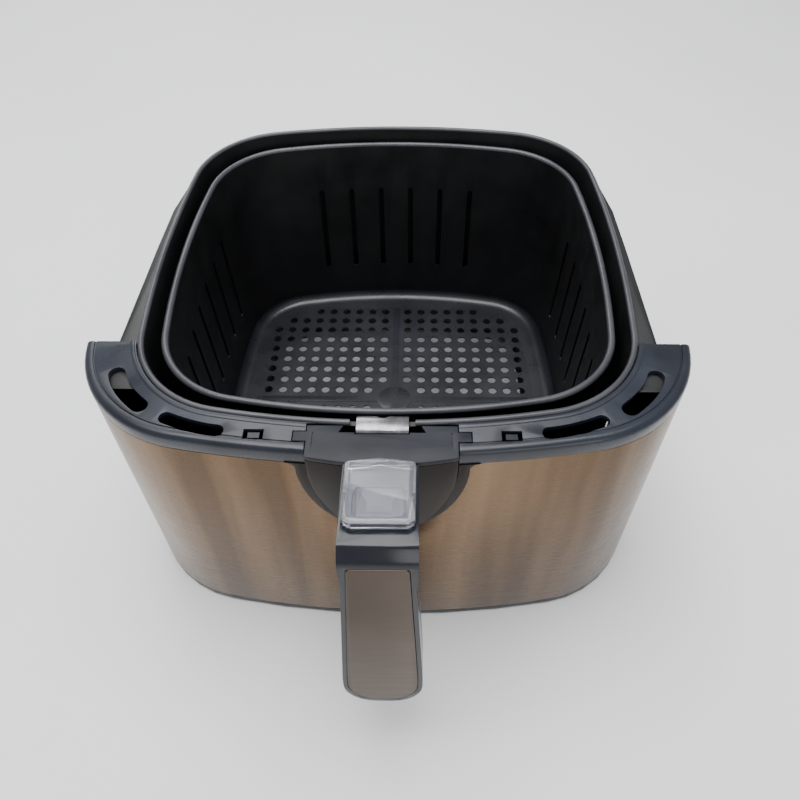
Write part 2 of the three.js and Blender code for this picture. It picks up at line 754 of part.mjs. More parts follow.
function frontEdgeSpan() {
  return frontEdge(plateFrontRadius, plateFront, bowl.halfWidth);
}

const baseScrew = { x: 8.5, y: pivot.y - 0.9 };

// The glossy front of the bowl, opened where the arm passes.
function makeBaseCover() {
  const back = ahead(-9.7);
  const span = box([-60, 60], [plateFront, back], [0, plateUnder - gap]);
  const armWay = box([-armHalfWidth + 3, armHalfWidth - 3], [-400, -80], [armUnderside + 2, 400]);
  return bowlPrism(0, plateFront, back, deckTop)
    .intersect(span)
    .intersect(aheadOfFront(bowlFrontSheet))
    .subtract(aheadOfFront(0))
    .subtract(armWay);
}

// ---------------------------------------------------------------- the handle

function gripFront(z) {
  return gripFrontTop[0] - (gripFrontTop[1] - z) * gripLean;
}

// The handle seen from the side, set back from its outer faces by an inset.
function handleSide(inset) {
  const top = deckTop - inset;
  const under = armUnderside + inset;
  const bottom = gripBottom - 5;
  const tilt = Math.hypot(1, gripLean);
  const back = (z) => gripFront(z) + (gripDepth - inset) * tilt;
  const front = (z) => gripFront(z) + inset * tilt;
  const path = [
    [handleRear, under],
    [back(under), under],
    [back(bottom), bottom],
    [front(bottom), bottom],
    [front(gripFrontTop[1]), gripFrontTop[1]],
    [armFront + inset * 0.6, top],
    [handleRear, top],
  ];
  return shapeOf(rounded(path, [0, 8, 0, 0, 8 - inset / 2, 3, 0], 4));
}

// The handle seen from the front, set in by an inset.
function handleFace(inset) {
  const neck = armUnderside + 4;
  const round = 15;
  const low = gripBottom + inset;
  const path = [
    [-armHalfWidth + inset, deckTop + 5],
    [-armHalfWidth + inset, gripFrontTop[1] - 4],
    [-gripNeckHalfWidth + inset, neck],
    [-gripHalfWidth + inset, low + 22],
    [-gripHalfWidth + inset, low],
    [gripHalfWidth - inset, low],
    [gripHalfWidth - inset, low + 22],
    [gripNeckHalfWidth - inset, neck],
    [armHalfWidth - inset, gripFrontTop[1] - 4],
    [armHalfWidth - inset, deckTop + 5],
  ];
  return shapeOf(rounded(path, [0, 0, 0, 0, round - inset / 2, round - inset / 2, 0, 0, 0, 0], 6));
}

function handleBlock(inset) {
  return alongX(handleSide(inset), -40, 40).intersect(alongY(handleFace(inset), -400, 0));
}

const splitDepth = 9.5;
const armSplit = deckTop - 13.5;

// The space in front of and above the parting surface between the two handle shells.
function frontHalf(margin) {
  const y = (z) => gripFront(z) + splitDepth + margin;
  const path = [
    [0, armSplit - margin],
    [y(armSplit), armSplit - margin],
    [y(0), 0],
    [-500, 0],
    [-500, 500],
    [0, 500],
  ];
  return alongX(shapeOf(path), -60, 60);
}

const gripScrewZ = [armUnderside - 17.5, gripBottom + 26];
const armScrew = { x: 8.5, y: ahead(5.3) };
const buttonHole = {
  halfWidth: buttonHalfWidth + 0.5,
  front: buttonFront - 0.5,
  back: buttonBack + 0.5,
};

// A point on the grip's parting surface, and the direction that its screws take.
function gripPoint(z, depth) {
  const tilt = Math.atan(gripLean);
  return [0, gripFront(z) + depth * Math.cos(tilt), z - depth * Math.sin(tilt)];
}

function gripRod(z, from, to, radius, sides = 12) {
  return rod(gripPoint(z, from), gripPoint(z, to), radius, sides);
}

// The arm's hollow, opened towards the handle's base so that the strap can enter.
function armMouth() {
  const mouth = box([-30, 30], [ahead(10.3), handleRear + 1], [0, deckTop - 3.5]);
  return handleBlock(handleSheet).intersect(mouth);
}

function makeHandleFront() {
  const deckHalf = armHalfWidth - 2.8;
  const deck = box([-deckHalf, deckHalf], [recess.front - 2.2, handleRear], [armDeckUnder, deckTop]);
  const shell = handleBlock(0).subtract(handleBlock(handleSheet).subtract(deck));
  const bosses = [
    ...gripScrewZ.map((z) => gripRod(z, 2, splitDepth - strapMid - gap, 3.6)),
    bothSides(uprightRod(armScrew, strapFace, armDeckUnder + 1.2, 2.9)),
  ];
  const span = [recess.front, recess.back];
  const cuts = [
    box([-recess.halfWidth, recess.halfWidth], span, [recess.floor, deckTop + 5]),
    bothSides(box([recess.halfWidth - 2.8, recess.halfWidth], span, [recess.channel, deckTop + 5])),
    box(
      [-buttonHole.halfWidth, buttonHole.halfWidth],
      [buttonHole.front, buttonHole.back],
      [armDeckUnder - 5, deckTop + 5],
    ),
    insertPrism(gap),
    ...gripScrewZ.map((z) => gripRod(z, 3.4, 30, screwRadius + gap)),
    bothSides(uprightRod(armScrew, coreZ - 19, coreZ + 13.8, screwRadius + gap)),
  ];
  return shell
    .subtract(armMouth().subtract(deck))
    .intersect(frontHalf(0))
    .add(wasm.Manifold.union(bosses))
    .subtract(wasm.Manifold.union(cuts));
}

function makeHandleBack() {
  const shell = handleBlock(0).subtract(handleBlock(handleSheet));
  const seats = gripScrewZ.map((z) => gripRod(z, splitDepth + strapMid + gap, gripDepth - 1, 4.4));
  const bores = [
    ...gripScrewZ.map((z) => gripRod(z, 0, 30, screwRadius + gap)),
    ...gripScrewZ.map((z) => gripRod(z, gripDepth - 2.6, 30, screwHeadRadius + gap)),
    bothSides(uprightRod(armScrew, coreZ - 9, coreZ + 6, screwRadius + gap)),
    bothSides(uprightRod(armScrew, coreZ - 9, armUnderside + 1.5, screwHeadRadius + gap)),
  ];
  return shell
    .subtract(armMouth())
    .subtract(frontHalf(gap))
    .add(wasm.Manifold.union(seats))
    .subtract(wasm.Manifold.union(bores));
}

// The metal inlay's space in the grip's front, grown by a margin.
function insertPrism(margin) {
  const top = gripFrontTop[1] - 2.4 + margin;
  const low = gripBottom + 3 - margin;
  const [wide, narrow] = [16.4 + margin, 12.6 + margin];
  const face = [
    [0, top],
    [-narrow, top],
    [-wide, low + 20],
    [-wide, low],
    [wide, low],
    [wide, low + 20],
    [narrow, top],
    [1, top],
  ];
  const front = alongY(shapeOf(rounded(face, [0, 1.5, 0, 13, 13, 0, 1.5, 0], 6)), -400, 0);
  const depth = insertSheet - 0.4 + margin;
  const side = [
    [gripFront(deckTop) + depth, deckTop],
    [gripFront(0) + depth, 0],
    [gripFront(0) - 0.4, 0],
    [gripFront(deckTop) - 0.4, deckTop],
  ];
  return front.intersect(alongX(shapeOf(side), -60, 60));
}

// One steel strap: welded to the basket, over the pan's rim, then through the arm and down the grip.
function makeHandleStrap() {
  const wall = (z) => -(basketRim.halfY + basketWall(z) + basketSheet) - gap - strapMid;
  const overRim = -(panFront - panBead) + 1.3 + strapMid; // just inside the pan's rim
  const tongue = tongueFront + strapMid;
  const core = (z) => gripFront(z) + splitDepth;
  const path = [
    [wall(basketTop - 42.6), basketTop - 42.6],
    [wall(basketTop - 16.6), basketTop - 16.6],
    [overRim, basketTop - 8.6],
    [overRim, strapTop - strapMid],
    [tongue, strapTop - strapMid],
    [tongue, coreZ],
    [core(coreZ), coreZ],
    [core(gripBottom + 14), gripBottom + 14],
  ];
  const cuts = [
    box([-3.6, 3.6], [pivot.y - 5.9, tongueFront - 1.6], [coreZ - 3, coreZ + 3]),
    bothSides(uprightRod(baseScrew, coreZ - 9, coreZ + 6, screwRadius + gap)),
    bothSides(uprightRod(armScrew, coreZ - 9, coreZ + 6, screwRadius + gap)),
    ...gripScrewZ.map((z) => gripRod(z, 0, 30, screwRadius + gap)),
    rod([0, overRim + 1.6, strapUnder - 2], [0, overRim + 1.6, strapTop + 2], 3.4, 16),
  ];
  return strap(path, [0, 3, 3, 2.5, 2.5, 1.8, 6, 0], strapSheet, strapWidth / 2)
    .subtract(wasm.Manifold.union(cuts));
}

// ---------------------------------------------------------------- button, guard and latch

const capFoot = armDeckUnder - 3;

// The corners of a level rectangle, centred on X.
function corners(half, front, back, z) {
  return [[-half, front, z], [half, front, z], [half, back, z], [-half, back, z]];
}

function makeButtonFrame() {
  const ring = box(
    [-frameHalfWidth, frameHalfWidth],
    [buttonFront - 1.6, recess.back - 2.9],
    [recess.floor + gap, frameTop],
  );
  const opening = box(
    [-buttonHole.halfWidth, buttonHole.halfWidth],
    [buttonHole.front, buttonHole.back],
    [capFoot, deckTop + 5],
  );
  const slots = bothSides(box(
    [buttonHalfWidth, frameHalfWidth - 1.3],
    [buttonFront + 1, buttonBack - 1],
    [capFoot, deckTop + 5],
  ));
  return ring.subtract(opening).subtract(slots);
}

function makeReleaseButton() {
  const [front, back] = [buttonFront, buttonBack];
  const cap = box([-buttonHalfWidth, buttonHalfWidth], [front, back], [capFoot, frameTop]);
  const flangeHalf = frameHalfWidth - 1.6;
  const flange = box(
    [-flangeHalf, flangeHalf],
    [front - 1.2, back + 1.2],
    [capFoot, armDeckUnder - gap],
  );
  const scoop = wasm.Manifold.hull([
    ...corners(buttonHalfWidth - 1.3, front + 1.2, back - 1.2, frameTop + 0.05),
    ...corners(buttonHalfWidth - 4.3, front + 3.4, back - 5.4, frameTop - 2.6),
  ]);
  const stem = box([-4.4, 4.4], [back - 5.2, back - 1.8], [pivot.z - 4.2, capFoot + 1.2]);
  const leverWindow = box([-2.8, 2.8], [back - 7, back - 1], [pivot.z - 2.6, pivot.z + 1.7]);
  const spigot = rod([0, springY, capFoot - 3.3], [0, springY, capFoot + 1.2], 1.6, 12);
  return cap.add(flange).subtract(scoop).add(stem.subtract(leverWindow)).add(spigot);
}

const springHead = capFoot - gap;

// A coil of five turns, as a wire swept along a helix.
class Helix extends THREE.Curve {
  constructor(radius, low, high, turns) {
    super();
    Object.assign(this, { radius, low, high, turns });
  }
  getPoint(t, target = new THREE.Vector3()) {
    const angle = t * this.turns * 2 * Math.PI;
    const z = this.low + (this.high - this.low) * t;
    return target.set(this.radius * Math.cos(angle), springY + this.radius * Math.sin(angle), z);
  }
}

function makeButtonSpring() {
  const wire = 0.4;
  const path = new Helix(2.7, strapFace + wire, springHead - wire, 5);
  const section = shapeOf(arc([0, 0], wire, 0, 2 * Math.PI, 6).slice(0, -1));
  return solid(new THREE.ExtrudeGeometry(section, { steps: 60, extrudePath: path, bevelEnabled: false }));
}

// The clear cover that slides back to free the button, held by feet under the button's frame.
function makeButtonGuard() {
  const base = deckTop + gap;
  const top = base + guardHeight;
  const shapeAt = (inset) => {
    const half = guardHalfWidth - inset;
    const [front, back] = [guardFront + inset, guardBack - inset];
    const clip = 2.6;
    return shapeOf([
      [half, front + clip],
      [half, back - 1],
      [half - 1.5, back],
      [0, back + guardArch],
      [-half + 1.5, back],
      [-half, back - 1],
      [-half, front + clip],
      [-half + clip, front],
      [half - clip, front],
    ]);
  };
  const outside = plate(shapeAt(0), base, top);
  const hollow = plate(shapeAt(guardSheet), base - 1, top - guardSheet);
  const frontGate = box(
    [-guardHalfWidth + 1.35, guardHalfWidth - 1.35],
    [guardFront - 1, guardFront + 3],
    [base - 1, frameTop + gap],
  );
  const paneHalf = guardHalfWidth - 2.85;
  const pane = box([-paneHalf, paneHalf], [guardFront + 3, guardBack - 2.6], [top - 0.5, top + 1]);
  const [legOuter, legInner] = [guardHalfWidth - 0.15, guardHalfWidth - 1.35];
  const legSpan = [recess.front + 1, recess.front + 14.8];
  const leg = box([legInner, legOuter], legSpan, [recess.channel + gap, base + 1]);
  const foot = box(
    [legInner - 1, legOuter],
    legSpan,
    [recess.channel + gap, recess.floor - 0.1],
  );
  return outside
    .subtract(hollow)
    .subtract(frontGate)
    .subtract(pane)
    .add(bothSides(leg))
    .add(bothSides(foot));
}

function makeLatchLever() {
  const half = 1.2;
  const tip = buttonBack - 5.6;
  const low = hookZ;
  const rear = pivot.y + half;
  const face = pivot.y - half;
  const profile = shapeOf([
    [rear, low],
    [rear, pivot.z + half],
    [tip, pivot.z + half],
    [tip, pivot.z - half],
    [face, pivot.z - half],
    [face, low + 4],
    [keeper.back + gap, low + 2.4],
    [keeper.back + gap, low],
  ]);
  const hub = rod([-5, pivot.y, pivot.z], [5, pivot.y, pivot.z], 2.6, 16);
  const bore = rod([-6, pivot.y, pivot.z], [6, pivot.y, pivot.z], pinRadius + gap, 16);
  return alongX(profile, -2.5, 2.5).add(hub).subtract(bore);
}

function makeLatchPin() {
  return rod([-lug.outer, pivot.y, pivot.z], [lug.outer, pivot.y, pivot.z], pinRadius, 16);
}

// A pan-head screw with a square recess, from its head's outer face to its tip.
function makeScrew(head, tip) {
  const start = new THREE.Vector3(...head);
  const dir = new THREE.Vector3(...tip).sub(start).normalize();
  const at = (distance) => start.clone().addScaledVector(dir, distance).toArray();
  const headHeight = 1.6;
  const cap = rod(head, at(headHeight), screwHeadRadius, 16);
  const shank = rod(at(headHeight / 2), tip, screwRadius, 10);
  const slot = rod(at(-0.1), at(0.8), 0.9, 4);
  return cap.add(shank).subtract(slot);
}

// ---------------------------------------------------------------- the assembly

function material(color, roughness, metalness = 0) {
  return new THREE.MeshStandardMaterial({ color, roughness, metalness });
}

const coating = material(0x17181b, 0.4);
const blackPlastic = material(0x2a2d33, 0.45);
const glossBronze = material(0x2c241c, 0.15);
const brushedSkin = material(0x8e7d6a, 0.32, 0.9);
const inlaySteel = material(0x6b625b, 0.35, 0.9);
const brightSteel = material(0xd9dadf, 0.25, 1);
const zincSteel = material(0x9a9da3, 0.4, 1);
const greyPlastic = material(0x9a9ba0, 0.4);
const clearPlastic = new THREE.MeshStandardMaterial({
  color: 0xe8eaf2,
  roughness: 0.08,
  metalness: 0,
  transparent: true,
  opacity: 0.35,
});

const drawer = new THREE.Group();

function place(name, manifold, look) {
  const mesh = new THREE.Mesh(geometryOf(manifold), look);
  mesh.name = name;
  drawer.add(mesh);
}

place("pan", makePan(), coating);
place("pan_bracket", makePanBracket(), zincSteel);
place("fascia_shell", makeFasciaShell(), blackPlastic);
place("fascia_top", makeFasciaTop(), blackPlastic);
place("fascia_skin", makeFasciaSkin(), brushedSkin);
place("recess_bezel", makeRecessBezel(), glossBronze);
place("basket", makeBasket(), coating);
place("handle_strap", makeHandleStrap(), brightSteel);
place("handle_base", makeHandleBase(), blackPlastic);
place("base_cover", makeBaseCover(), glossBronze);
place("handle_front", makeHandleFront(), blackPlastic);
place("handle_back", makeHandleBack(), blackPlastic);
place("handle_inlay", insertPrism(0), inlaySteel);
place("button_frame", makeButtonFrame(), greyPlastic);
place("release_button", makeReleaseButton(), greyPlastic);
place("button_spring", makeButtonSpring(), zincSteel);
place("button_guard", makeButtonGuard(), clearPlastic);
place("latch_lever", makeLatchLever(), zincSteel);
place("latch_pin", makeLatchPin(), zincSteel);

const headDrop = gap + 1.6; // from the face that a screw holds to its head's outer face
for (const [side, s] of [["left", -1], ["right", 1]]) {
  const upright = (at, head, tip) => makeScrew([s * at.x, at.y, head], [s * at.x, at.y, tip]);
  place(`fascia_screw_${side}`, upright(ear, ear.z - headDrop, ear.z + 11), zincSteel);
  place(`base_screw_${side}`, upright(baseScrew, coreZ - strapMid - headDrop, pivot.z - 2.2), zincSteel);
  place(`arm_screw_${side}`, upright(armScrew, armUnderside - 0.4, coreZ + 13.4), zincSteel);
}
gripScrewZ.forEach((z, i) => {
  const name = `grip_screw_${["upper", "lower"][i]}`;
  place(name, makeScrew(gripPoint(z, gripDepth - 0.6), gripPoint(z, 4)), zincSteel);
});

export default drawer;
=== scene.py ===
# %% [markdown]
# # The drawer of a square air fryer
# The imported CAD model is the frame: it says where each piece is and what it moves with. Here the
# drawn steel, the moulded plastic and the brushed sheet get their fine shape and their finish.

# %% Load the frame
import math
import bpy
import bmesh
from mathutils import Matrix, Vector


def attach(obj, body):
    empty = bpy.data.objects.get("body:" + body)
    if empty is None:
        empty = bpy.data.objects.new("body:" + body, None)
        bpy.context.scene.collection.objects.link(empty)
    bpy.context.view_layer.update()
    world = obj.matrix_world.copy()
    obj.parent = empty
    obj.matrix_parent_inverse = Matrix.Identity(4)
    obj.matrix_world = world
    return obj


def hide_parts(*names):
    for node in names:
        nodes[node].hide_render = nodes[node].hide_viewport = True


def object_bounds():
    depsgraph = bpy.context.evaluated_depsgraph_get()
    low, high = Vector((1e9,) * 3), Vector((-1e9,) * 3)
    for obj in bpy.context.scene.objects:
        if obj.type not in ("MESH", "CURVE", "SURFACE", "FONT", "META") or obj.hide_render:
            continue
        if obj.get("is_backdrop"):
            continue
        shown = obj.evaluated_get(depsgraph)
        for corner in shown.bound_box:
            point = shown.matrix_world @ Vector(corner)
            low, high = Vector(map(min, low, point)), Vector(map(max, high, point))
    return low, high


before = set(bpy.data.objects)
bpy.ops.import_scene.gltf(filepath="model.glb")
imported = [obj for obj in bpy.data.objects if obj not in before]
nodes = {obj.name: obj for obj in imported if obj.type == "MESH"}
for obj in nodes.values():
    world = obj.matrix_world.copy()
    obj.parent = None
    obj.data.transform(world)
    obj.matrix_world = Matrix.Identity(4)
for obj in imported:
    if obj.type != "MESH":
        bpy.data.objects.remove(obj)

cad_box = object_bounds()
MM = 0.001

# %% [markdown]
# ## Camera
# One camera looks steeply down into the basket from the handle's side, close enough for the handle
# to grow towards it.

# %% Camera
bpy.ops.object.camera_add(location=(0.01401, -0.32829, 0.41239))
camera = bpy.context.object
camera.rotation_euler = [math.radians(a) for a in (40.3745, 0.6089, 1.0358)]
camera.data.sensor_width = 36
camera.data.lens = 32.84
camera.data.clip_start = 0.01
bpy.context.scene.camera = camera
print("camera at", tuple(round(v, 3) for v in camera.location))

# %% [markdown]
# ## Working tools
# The pan, the basket and the front panel all follow one kind of outline: a rounded square made of
# three arcs. A ring drawn on that outline and extruded from height to height gives each wall, as a
# drawn sheet has it. What is cut out of a wall is cut with a second solid, which is then removed.

# %% Select one object
def alone(obj):
    if bpy.context.mode != "OBJECT":
        bpy.ops.object.mode_set(mode="OBJECT")
    bpy.ops.object.select_all(action="DESELECT")
    obj.select_set(True)
    bpy.context.view_layer.objects.active = obj


for node in nodes.values():
    node.select_set(False)


# %% The three-arc outline
PAN = dict(halfX=124.8, halfY=123.5, front=440, side=700, corner=54, extra=3.4)
BASKET = dict(halfX=116.5, halfY=114.9, front=370, side=555, corner=49.5)
FASCIA = dict(halfX=150.5, halfY=144.8, front=520, side=900, corner=65)


def arc(centre, radius, start, end, steps):
    angles = [start + (end - start) * i / steps for i in range(steps + 1)]
    return [(centre[0] + radius * math.cos(a), centre[1] + radius * math.sin(a)) for a in angles]


def outline(size, offset=0.0, steps=(6, 14, 8)):
    front = (0, size["halfY"] - size["front"])
    side = (size["halfX"] - size["side"], 0)
    to_front = size["front"] - size["corner"]
    to_side = size["side"] - size["corner"]
    span = math.hypot(side[0], front[1])
    along = (to_side**2 - to_front**2 + span**2) / (2 * span)
    across = math.sqrt(to_side**2 - along**2)
    ux, uy = -side[0] / span, front[1] / span
    corner = (side[0] + along * ux - across * uy, along * uy + across * ux)
    turn_1 = math.atan2(corner[1] - side[1], corner[0] - side[0])
    turn_2 = math.atan2(corner[1] - front[1], corner[0] - front[0])
    quarter = arc(side, size["side"] + offset, 0, turn_1, steps[0])[:-1]
    quarter += arc(corner, size["corner"] + offset, turn_1, turn_2, steps[1])[:-1]
    quarter += arc(front, size["front"] + offset, turn_2, math.pi / 2, steps[2])
    half = quarter + [(-x, y) for x, y in reversed(quarter[:-1])]
    stretch = 1 + size.get("extra", 0) / size["halfY"]
    return half + [(x, -y * stretch) for x, y in reversed(half[1:-1])]


print("points round an outline:", len(outline(PAN)))


# %% Extrude a ring from level to level
def by_turn(point):
    return math.atan2(point[1], point[0])


def settle(mesh, size, level):
    points = sorted(outline(size, level[0]), key=by_turn)
    ring = sorted((v for v in mesh.verts if v.select), key=lambda v: by_turn(v.co))
    for vertex, (x, y) in zip(ring, points):
        vertex.co = (x * MM, y * MM, level[1] * MM)


def stack(name, size, levels, capped=True):
    """A wall through (offset, height) levels. It is capped at both ends, or closed on itself."""
    count = len(outline(size))
    bpy.ops.mesh.primitive_circle_add(vertices=count, radius=size["halfX"] * MM)
    obj = bpy.context.object
    obj.name = name
    bpy.ops.object.mode_set(mode="EDIT")
    mesh = bmesh.from_edit_mesh(obj.data)
    settle(mesh, size, levels[0])
    first = [v.index for v in mesh.verts]
    if capped:
        bpy.ops.mesh.edge_face_add()
        bpy.ops.mesh.select_mode(type="EDGE")
        mesh = bmesh.from_edit_mesh(obj.data)
        for face in mesh.faces:
            face.select = False
        for edge in mesh.edges:
            edge.select = True
        bmesh.update_edit_mesh(obj.data)
        bpy.ops.mesh.select_mode(type="VERT")
    for level in levels[1:]:
        bpy.ops.mesh.extrude_edges_move()
        mesh = bmesh.from_edit_mesh(obj.data)
        settle(mesh, size, level)
    if capped:
        bpy.ops.mesh.edge_face_add()
    else:
        mesh = bmesh.from_edit_mesh(obj.data)
        mesh.verts.ensure_lookup_table()
        for i in first:
            mesh.verts[i].select = True
        mesh.select_flush(True)
        bpy.ops.mesh.select_mode(type="EDGE")
        mesh = bmesh.from_edit_mesh(obj.data)
        last = set(range(len(mesh.verts) - count, len(mesh.verts)))
        start = set(first)
        for edge in mesh.edges:
            ends = {v.index for v in edge.verts}
            edge.select = ends <= last or ends <= start
        bpy.ops.mesh.bridge_edge_loops()
        bpy.ops.mesh.select_mode(type="VERT")
    bpy.ops.mesh.select_all(action="SELECT")
    bpy.ops.mesh.normals_make_consistent(inside=False)
    bpy.ops.object.mode_set(mode="OBJECT")
    return obj


# %% A prism drawn on X, Y or Z
def prism(name, points, axis, low, high):
    """The (u, v) outline, in millimetres, carried from low to high along the axis."""
    bpy.ops.mesh.primitive_circle_add(vertices=len(points), radius=0.01, fill_type="NGON")
    obj = bpy.context.object
    obj.name = name
    place = {
        "X": lambda u, v: (low, u, v),
        "Y": lambda u, v: (u, low, v),
        "Z": lambda u, v: (u, v, low),
    }[axis]
    for vertex, (u, v) in zip(obj.data.vertices, points):
        vertex.co = Vector(place(u, v)) * MM
    way = {"X": (1, 0, 0), "Y": (0, 1, 0), "Z": (0, 0, 1)}[axis]
    bpy.ops.object.mode_set(mode="EDIT")
    bpy.ops.mesh.select_all(action="SELECT")
    shift = Vector(way) * (high - low) * MM
    bpy.ops.mesh.extrude_region_move(TRANSFORM_OT_translate={"value": shift})
    bpy.ops.mesh.select_all(action="SELECT")
    bpy.ops.mesh.normals_make_consistent(inside=False)
    bpy.ops.object.mode_set(mode="OBJECT")
    return obj


def block(name, x, y, z):
    return prism(name, [(x[0], y[0]), (x[1], y[0]), (x[1], y[1]), (x[0], y[1])], "Z", z[0], z[1])


# %% Cut, join and soften
def combine(obj, tool, operation="DIFFERENCE"):
    alone(obj)
    step = obj.modifiers.new("combine", "BOOLEAN")
    step.object = tool
    step.operation = operation
    step.solver = "EXACT"
    bpy.ops.object.modifier_apply(modifier=step.name)
    bpy.data.objects.remove(tool)
    return obj


def mirror_x(obj):
    alone(obj)
    step = obj.modifiers.new("mirror", "MIRROR")
    step.use_axis = (True, False, False)
    step.use_mirror_merge = False
    bpy.ops.object.modifier_apply(modifier=step.name)
    bpy.ops.object.mode_set(mode="EDIT")
    bpy.ops.mesh.select_all(action="SELECT")
    bpy.ops.mesh.normals_make_consistent(inside=False)
    bpy.ops.object.mode_set(mode="OBJECT")
    return obj


def soften(obj, width=0.3, segments=2, sharper_than=35):
    """Rounds the sharp edges by a width in millimetres, and shades the rest smooth."""
    alone(obj)
    if width:
        step = obj.modifiers.new("edge", "BEVEL")
        step.width = width * MM
        step.segments = segments
        step.limit_method = "ANGLE"
        step.angle_limit = math.radians(sharper_than)
        step.use_clamp_overlap = True
        bpy.ops.object.modifier_apply(modifier=step.name)
    bpy.ops.object.shade_smooth_by_angle(angle=math.radians(32))
    return obj


# %% Take a CAD node's shape
def from_cad(node, name, width=0.3, segments=2):
    """A merged copy of a CAD node with its edges rounded, which stands for the node."""
    alone(nodes[node])
    bpy.ops.object.duplicate()
    obj = bpy.context.object
    obj.parent = None
    obj.name = name
    for key in list(obj.keys()):
        del obj[key]
    obj.data.materials.clear()
    bpy.ops.object.mode_set(mode="EDIT")
    bpy.ops.mesh.select_all(action="SELECT")
    bpy.ops.mesh.remove_doubles(threshold=2e-6)
    bpy.ops.mesh.dissolve_limited(angle_limit=math.radians(0.8))
    bpy.ops.object.mode_set(mode="OBJECT")
    soften(obj, width, segments)
    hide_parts(node)
    return obj


def keep(obj, body, material, slot):
    obj.data.materials.clear()
    obj.data.materials.append(material)
    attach(obj, body)
    print(obj.name, "faces", len(obj.data.polygons), "on", body)
    return obj


# %% [markdown]
# ## Finishes
# Each finish is a Principled surface with three scales of detail: slow changes of tone that a hand
# or a mould leaves (on the brushed sheet these are painted reflections), patches of more and less
# gloss, and a fine grain that breaks the highlight.

# %% A finish with grain
NOISE_LOW, NOISE_HIGH = 0.3, 0.7
GRAIN_DEPTH = 0.4 * MM


def mapped(tree, scale, kind="ShaderNodeTexNoise", detail=3.0):
    coords = tree.nodes.new("ShaderNodeTexCoord")
    place = tree.nodes.new("ShaderNodeMapping")
    place.inputs["Scale"].default_value = scale
    pattern = tree.nodes.new(kind)
    pattern.inputs["Scale"].default_value = 1.0
    if "Detail" in pattern.inputs:
        pattern.inputs["Detail"].default_value = detail
    tree.links.new(coords.outputs["Object"], place.inputs["Vector"])
    tree.links.new(place.outputs["Vector"], pattern.inputs["Vector"])
    return pattern


def toned(tree, pattern, dark, light, low=0.35, high=0.65):
    ramp = tree.nodes.new("ShaderNodeValToRGB")
    ramp.color_ramp.elements[0].position = low
    ramp.color_ramp.elements[0].color = (*dark, 1)
    ramp.color_ramp.elements[1].position = high
    ramp.color_ramp.elements[1].color = (*light, 1)
    tree.links.new(pattern.outputs[0], ramp.inputs["Fac"])
    return ramp


def spread(tree, pattern, low, high):
    span = tree.nodes.new("ShaderNodeMapRange")
    span.inputs["From Min"].default_value = NOISE_LOW
    span.inputs["From Max"].default_value = NOISE_HIGH
    span.inputs["To Min"].default_value = low
    span.inputs["To Max"].default_value = high
    tree.links.new(pattern.outputs[0], span.inputs["Value"])
    return span


def finish(name, dark, light, gloss, metallic=0.0, tone_scale=(25, 25, 25),
           patch_scale=(90, 90, 90), grain_scale=(1400, 1400, 1400), grain=0.06):
    material = bpy.data.materials.new(name)
    material.use_nodes = True
    tree = material.node_tree
    shader = tree.nodes["Principled BSDF"]
    shader.inputs["Metallic"].default_value = metallic
    tone = toned(tree, mapped(tree, tone_scale), dark, light)
    tree.links.new(tone.outputs["Color"], shader.inputs["Base Color"])
    patch = spread(tree, mapped(tree, patch_scale), gloss[0], gloss[1])
    tree.links.new(patch.outputs["Result"], shader.inputs["Roughness"])
    bump = tree.nodes.new("ShaderNodeBump")
    bump.inputs["Strength"].default_value = grain
    bump.inputs["Distance"].default_value = GRAIN_DEPTH
    tree.links.new(mapped(tree, grain_scale, detail=2.0).outputs[0], bump.inputs["Height"])
    tree.links.new(bump.outputs["Normal"], shader.inputs["Normal"])
    return material


def shader_of(material):
    return material.node_tree.nodes["Principled BSDF"]


# %% [markdown]
# The coated steel is nearly black and satin, painted darker still as shade inside the pan and the
# basket.
# The basket's floor has a lighter copy, painted light where it faces the lamps, and the rims catch
# light as a paler line, a painted highlight along the rolled bead. The moulded plastic is a blue
# black with a fine texture.

# %% Black finishes
# The walls' coating: a black coating, painted darker still as shade inside the pan and the basket.
coating_and_painted_shade = finish("coating_and_painted_shade", (0.0035, 0.0037, 0.0042), (0.006, 0.0062, 0.007), (0.36, 0.48),
                 tone_scale=(18, 18, 18), patch_scale=(60, 60, 60), grain=0.10)
# The basket floor's copy of the coating is lighter: painted light where the floor faces the lamps.
floor_coating_painted_light = finish("floor_coating_painted_light", (0.012, 0.013, 0.016), (0.019, 0.021, 0.026), (0.24, 0.34),
                       patch_scale=(70, 70, 70), grain=0.08)
# The pan's inner floor is painted near white: painted light seen through the basket's holes, where
# the floor lies in shade.
well_floor_painted_light = finish("well_floor_painted_light", (0.62, 0.64, 0.68), (0.82, 0.84, 0.88), (0.30, 0.42),
                    metallic=0.2, tone_scale=(40, 40, 40))
# The rims' copy of the coating is paler: a painted highlight along the rolled bead.
rim_painted_highlight = finish("rim_painted_highlight", (0.030, 0.031, 0.037), (0.050, 0.052, 0.060), (0.30, 0.42),
                     grain=0.05)
black_plastic = finish("black_plastic", (0.008, 0.010, 0.016), (0.017, 0.021, 0.032), (0.24, 0.38),
                       tone_scale=(30, 30, 30), patch_scale=(55, 55, 55), grain=0.07)
gloss_black = finish("gloss_black", (0.006, 0.007, 0.011), (0.012, 0.014, 0.020), (0.14, 0.24),
                     grain=0.02)
matt_black = finish("matt_black", (0.008, 0.009, 0.013), (0.015, 0.017, 0.024), (0.42, 0.52),
                    tone_scale=(30, 30, 30), grain=0.10)
for plastic, level in ((black_plastic, 0.4), (matt_black, 0.25), (gloss_black, 0.4)):
    shader_of(plastic).inputs["Specular IOR Level"].default_value = level
print("black finishes ready")
